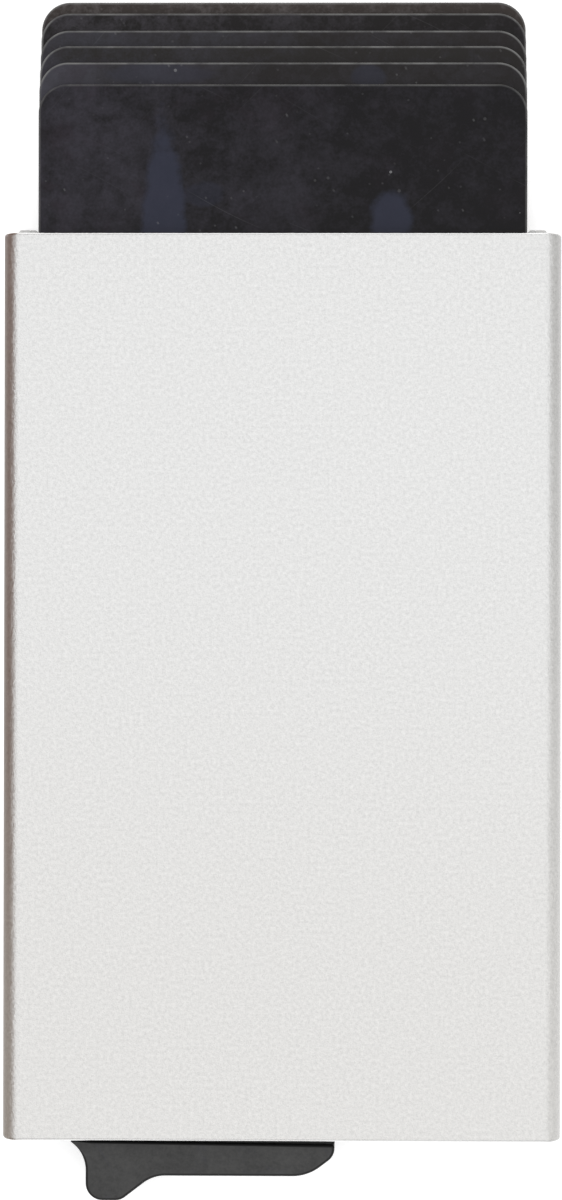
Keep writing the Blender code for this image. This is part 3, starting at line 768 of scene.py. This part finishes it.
# The darker of the pile's two tones is a painted shade for the gaps between the tufts
pileLook = {
    "gap": (0.460, 0.458, 0.452), "tip": (0.900, 0.895, 0.885), "fibres": (5200.0, 3.5),
    "tufts": (1400.0, 2.5), "bump": 0.00015
}
stripSizes = {
    "carrierEnd": 50.40 * mm, "carrierRound": 0.14 * mm, "bulge": 1.0 * mm, "sideSteps": 24,
    "slopeFrom": 49.5 * mm, "slopeStop": 0.2 * mm, "slopeRows": 5, "endWidth": 28.95 * mm,
    "pileEnd": 50.39 * mm, "pileRound": 0.14 * mm, "overlap": 0.02 * mm, "pileRows": 25,
    "tuft": 0.05 * mm, "tuftStep": 0.35 * mm, "tuftFrom": 0.5 * mm, "tuftStop": 0.4 * mm,
    "waves": ((7.1, 2.3, 4.7), (11.3, 1.9, 5.9)), "lip": 0.03 * mm, "roundSteps": 5
}


def makePileMaterial():
    # Short dense fibres: very fine noise for their tips, with painted shade in the gaps between the tufts
    look = pileLook
    material, tree, shader, place = startMaterial("shortPile", Roughness=0.95, Specular_IOR_Level=0.2,
                                                  Sheen_Weight=0.35)
    fibres = grainOf(tree, place, *look["fibres"])
    tufts = grainOf(tree, place, *look["tufts"])
    tone = times(tree, fibres["Tone"], tufts["Tone"])
    # Painted shade: the tone falls where the bump's noise is low, between the tufts
    setColour(tree, shader, blendColours(tree, tone, look["gap"], look["tip"]))
    setBump(tree, shader, plus(tree, fibres["Height"], tufts["Height"]), look["bump"])
    return material


def stripPlace(node):
    # The box of a strip, seen as if it were the right one: its inner and outer x, and its corners
    low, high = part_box(node)
    return min(abs(low.x), abs(high.x)), max(abs(low.x), abs(high.x)), low, high


def carryStrip(profile, foot, end, radius, rows):
    # A profile in x and z carried along y, its ends eased, with more rings at the given rows
    levels, insets = easeLevels(foot, end, radius, stripSizes["roundSteps"], stripSizes["lip"])
    middle = len(levels) // 2
    levels = np.insert(levels, middle, rows)
    insets = np.insert(insets, middle, np.zeros(len(rows)))
    return carryLoops([shrinkLoop(profile, cut) for cut in insets], levels)


def makeStrip(name, side, points, quads, material, node):
    # Worked out as the right strip; side is -1 for the left one, its mirror image
    points = points * [side, 1, 1]
    parts = [(points, quads, np.zeros(len(points)))]
    makePiece(name, parts, material, "case", [node], axis=1)


def makeCarrier(sideName, side, material):
    # A bar whose outer side is half an ellipse; near the mouth a slope trims it to endWidth
    size = stripSizes
    node = sideName + "_strip_carrier"
    inner, outer, low, high = stripPlace(node)
    turn = np.linspace(-math.pi / 2, math.pi / 2, size["sideSteps"] + 1)
    across = outer - size["bulge"] + size["bulge"] * np.cos(turn)
    height = (low.z + high.z) / 2 + (high.z - low.z) / 2 * np.sin(turn)
    profile = np.concatenate([[[inner, low.z]], np.column_stack([across, height]), [[inner, high.z]]])
    rows = np.linspace(size["slopeFrom"], size["carrierEnd"] - size["slopeStop"], size["slopeRows"])
    points, quads = carryStrip(profile, low.y, size["carrierEnd"], size["carrierRound"], rows)
    widest = np.interp(points[:, 1], [size["slopeFrom"], size["carrierEnd"]], [outer, size["endWidth"]])
    points[:, 0] = np.minimum(points[:, 0], widest)
    makeStrip(sideName + "Carrier", side, points, quads, material, node)


def makePile(sideName, side, material):
    # A rounded bar up to the carrier's flat. Its free side and end are set with tufts, which reach
    # out by tuft times the mean of two waves, sin(a * y + b * sin(c * z)) and the same with y and z
    # exchanged, in millimetres
    size = stripSizes
    node = sideName + "_pile_strip"
    inner, _, low, high = stripPlace(node)
    outer = stripPlace(sideName + "_strip_carrier")[0] + size["overlap"]
    heights = np.linspace(low.z, high.z, size["pileRows"])[::-1]
    free = np.column_stack([np.full(len(heights), inner), heights])
    profile = np.concatenate([[[outer, low.z], [outer, high.z]], free])
    rows = np.arange(low.y + size["tuftFrom"], size["pileEnd"] - size["tuftStop"], size["tuftStep"])
    points, quads = carryStrip(profile, low.y, size["pileEnd"], size["pileRound"], rows)
    along, up = points[:, 1] / mm, points[:, 2] / mm
    (a, b, c), (d, e, f) = size["waves"]
    wave = (np.sin(a * along + b * np.sin(c * up)) + np.sin(d * up + e * np.sin(f * along))) / 2
    points[:, 0] += size["tuft"] * wave * np.clip((outer - points[:, 0]) / (outer - inner), 0, 1)
    makeStrip(sideName + "Pile", side, points, quads, material, node)


makeCase(makeCaseMaterial())
makeCards()
makeLever(makePlasticMaterial("charcoalGrain", leverLook))
carrierMaterial = makePlasticMaterial("greyExtrusion", carrierLook)
pileMaterial = makePileMaterial()
for sideName, side in (("left", -1.0), ("right", 1.0)):
    makeCarrier(sideName, side, carrierMaterial)
    makePile(sideName, side, pileMaterial)
print("case, cards, lever and strips made")


insertLook = {
    "dark": (0.012, 0.012, 0.012), "light": (0.026, 0.026, 0.026), "rough": 0.58, "grain": 3200.0,
    "bump": 0.00005
}
pinLook = {
    "dark": (0.50, 0.50, 0.51), "light": (0.66, 0.66, 0.67), "drawn": (0.1, 0.1, 6.0),
    "rings": (1800.0, 3.0), "smoothest": 0.22, "roughest": 0.36
}


def makePinMaterial():
    # Ground steel: fine rings round the pin's axis, which is z, from a noise stretched round it
    look = pinLook
    material, tree, shader, place = startMaterial("groundSteel", Metallic=1.0)
    rings = grainOf(tree, vectorOf(tree, "MULTIPLY", place, look["drawn"]), *look["rings"])["Tone"]
    setColour(tree, shader, blendColours(tree, rings, look["dark"], look["light"]))
    setRoughness(tree, shader, smoothRamp(tree, rings, 0.0, 1.0, look["smoothest"], look["roughest"]))
    return material


def dress(name, material):
    nodes[name].data.materials.clear()
    nodes[name].data.materials.append(material)


dress("base_insert", makePlasticMaterial("blackMoulding", insertLook))
dress("pivot_pin", makePinMaterial())
print("inner pieces dressed")


# Table, shade cards, light tent, soft box and camera

def startStageMaterial(name):
    material = bpy.data.materials.new(name)
    material.use_nodes = True
    material.cycles.emission_sampling = "NONE"
    return material, material.node_tree


def addStageObject(name, points, quads, material):
    mesh = bpy.data.meshes.new(name)
    mesh.from_pydata(points, [], quads)
    mesh.materials.append(material)
    return addObject(name, mesh)


tableLook = {"size": 6.0, "drop": 0.05 * mm, "colour": (0.92, 0.92, 0.92), "rough": 0.9, "lift": 0.49}


def makeFloor():
    # A pale table; what the camera and reflections see of it is lifted to white, shadows stay
    look = tableLook
    material, tree = startStageMaterial("paleTableTop")
    shader = tree.nodes["Principled BSDF"]
    shader.inputs["Base Color"].default_value = (*look["colour"], 1.0)
    shader.inputs["Roughness"].default_value = look["rough"]
    shader.inputs["Specular IOR Level"].default_value = 0.0
    path = addNode(tree, "LightPath").outputs
    seen = mathOf(tree, "MAXIMUM", mathOf(tree, "MAXIMUM", path["Is Camera Ray"], path["Is Glossy Ray"]),
                  path["Is Transmission Ray"])
    glow = addNode(tree, "Emission", {"Color": (1, 1, 1, 1), "Strength": times(tree, seen, look["lift"])})
    both = addNode(tree, "AddShader", {0: shader.outputs[0], 1: glow.outputs[0]})
    tree.links.new(both.outputs[0], tree.nodes["Material Output"].inputs["Surface"])
    half = look["size"] / 2
    corners = [(-half, -half, 0), (half, -half, 0), (half, half, 0), (-half, half, 0)]
    floor = addStageObject("paleTable", corners, [(0, 1, 2, 3)], material)
    floor.location.z = -look["drop"]


# Of each shade card: its side, the tones near the mouth and the foot, the y between which they change,
# and the tone close to the case
shadeLooks = {
    "left": (-1.0, (0.200, 0.133, 0.108), (0.36, 0.312, 0.274), 5 * mm, -50 * mm, (0.62, 0.60, 0.58)),
    "right": (1.0, (0.60, 0.592, 0.580), (0.84, 0.835, 0.825), 60 * mm, -60 * mm, (1.0, 1.0, 1.0))
}
shadeSizes = {
    "near": 31.2 * mm, "closeRun": 7 * mm, "run": 0.30, "reach": 0.35, "lift": 0.2 * mm, "height": 0.28,
    "runSteps": 32, "reachSteps": 8, "fadeFrom": 0.42, "fadeTone": (0.97, 0.97, 0.97)
}


def makeShadeCard(name):
    # A dim card that reflections alone see, flat on the table beside the case and then curving up:
    # x = side * (near + run * s), y = reach * t, z = lift + height * s ** 3, with s from 0 to 1 and
    # t from -1 to 1. It is palest close to the case, and far from it fades into the tent
    side, mouthTone, footTone, changeFrom, changeTo, closeTone = shadeLooks[name]
    size = shadeSizes
    near, run = size["near"], size["run"]
    material, tree = startStageMaterial(name + "ShadeTone")
    tree.nodes.remove(tree.nodes["Principled BSDF"])
    parts = addNode(tree, "SeparateXYZ", {0: addNode(tree, "TexCoord").outputs["Object"]}).outputs
    tone = blendColours(tree, smoothRamp(tree, parts[1], changeFrom, changeTo), mouthTone, footTone)
    away = mathOf(tree, "ABSOLUTE", parts[0])
    fade = smoothRamp(tree, away, near + size["fadeFrom"] * run, near + run)
    tone = blendColours(tree, fade, tone, size["fadeTone"])
    tone = blendColours(tree, smoothRamp(tree, away, near + size["closeRun"], near), tone, closeTone)
    glow = addNode(tree, "Emission", {"Color": tone, "Strength": 1.0})
    tree.links.new(glow.outputs[0], tree.nodes["Material Output"].inputs["Surface"])

    rows, columns = size["runSteps"], size["reachSteps"]
    s, t = np.meshgrid(np.linspace(0, 1, rows + 1), np.linspace(-1, 1, columns + 1), indexing="ij")
    points = np.stack([side * (near + run * s), size["reach"] * t, size["lift"] + size["height"] * s ** 3],
                      axis=-1).reshape(-1, 3)
    i, j = np.meshgrid(np.arange(rows), np.arange(columns), indexing="ij")
    first = (i * (columns + 1) + j).reshape(-1)
    quads = np.stack([first, first + 1, first + columns + 2, first + columns + 1], axis=-1)
    card = addStageObject(name + "Shade", points.tolist(), quads.tolist(), material)
    card.visible_camera = card.visible_diffuse = card.visible_shadow = False
    card.visible_transmission = card.visible_volume_scatter = False


# Strengths by direction: side turns to top over the heights in topRise; a band just above the horizon,
# which rises over bandFoot and falls over bandTop, has horizon, and its own strength at both ends of y
tentLook = {
    "side": 0.98, "top": 0.70, "topRise": (0.76, 0.88), "bandFoot": (0.08, 0.16), "bandTop": (0.36, 0.20),
    "horizon": 1.0, "ends": (0.70, 0.95), "mouthEnd": 1.6, "footEnd": 1.05
}


def makeTent():
    # An even light tent: a little dimmer overhead, where the soft box adds to it, and in a band just
    # above the horizon brighter behind the mouth and in front of the foot
    look = tentLook
    world = bpy.data.worlds.new("lightTent")
    bpy.context.scene.world = world
    world.use_nodes = True
    world.cycles.sampling_method = "NONE"
    tree = world.node_tree
    parts = addNode(tree, "SeparateXYZ", {0: addNode(tree, "TexCoord").outputs["Generated"]}).outputs
    high = smoothRamp(tree, parts[2], *look["topRise"], look["side"], look["top"])
    falls = smoothRamp(tree, parts[2], *look["bandTop"])
    band = times(tree, falls, smoothRamp(tree, parts[2], *look["bandFoot"]))
    start, full = look["ends"]
    behind = smoothRamp(tree, parts[1], start, full, look["horizon"], look["mouthEnd"])
    before = smoothRamp(tree, parts[1], -start, -full, 0.0, look["footEnd"] - look["horizon"])
    sides = times(tree, high, minus(tree, 1.0, band))
    strength = plus(tree, sides, times(tree, plus(tree, behind, before), band))
    tree.links.new(strength, tree.nodes["Background"].inputs["Strength"])
    tree.nodes["Background"].inputs["Color"].default_value = (1, 1, 1, 1)


# radiance is what a mirror would see; the lamp's watts follow from its area
boxLook = {"place": (0.0, 0.0, 1.9), "side": 2.6, "radiance": 0.33}


def addSoftBox():
    side = boxLook["side"]
    lamp = bpy.data.lights.new("overheadBox", "AREA")
    lamp.shape = "SQUARE"
    lamp.size = side
    lamp.energy = boxLook["radiance"] * math.pi * side ** 2
    box = addObject("overheadBox", lamp)
    box.location = boxLook["place"]
    box.rotation_euler = Vector(boxLook["place"]).to_track_quat("Z", "Y").to_euler()
    box.visible_camera = False


# The camera looks down from above the table, a little right of the middle
cameraLook = {
    "place": (6.45 * mm, 8.885 * mm, 420 * mm), "turn": (0.00168, 0.01584, 0.00193),
    "lens": 112.39, "sensor": 36.0, "nearest": 0.01
}


def addCamera():
    camera = addObject("camera", bpy.data.cameras.new("camera"))
    camera.location = cameraLook["place"]
    camera.rotation_euler = cameraLook["turn"]
    camera.data.lens = cameraLook["lens"]
    camera.data.sensor_width = cameraLook["sensor"]
    camera.data.clip_start = cameraLook["nearest"]
    bpy.context.scene.camera = camera


makeFloor()
for name in shadeLooks:
    makeShadeCard(name)
makeTent()
addSoftBox()
addCamera()
bpy.context.scene.view_settings.view_transform = "Standard"
print("table, light and camera set")
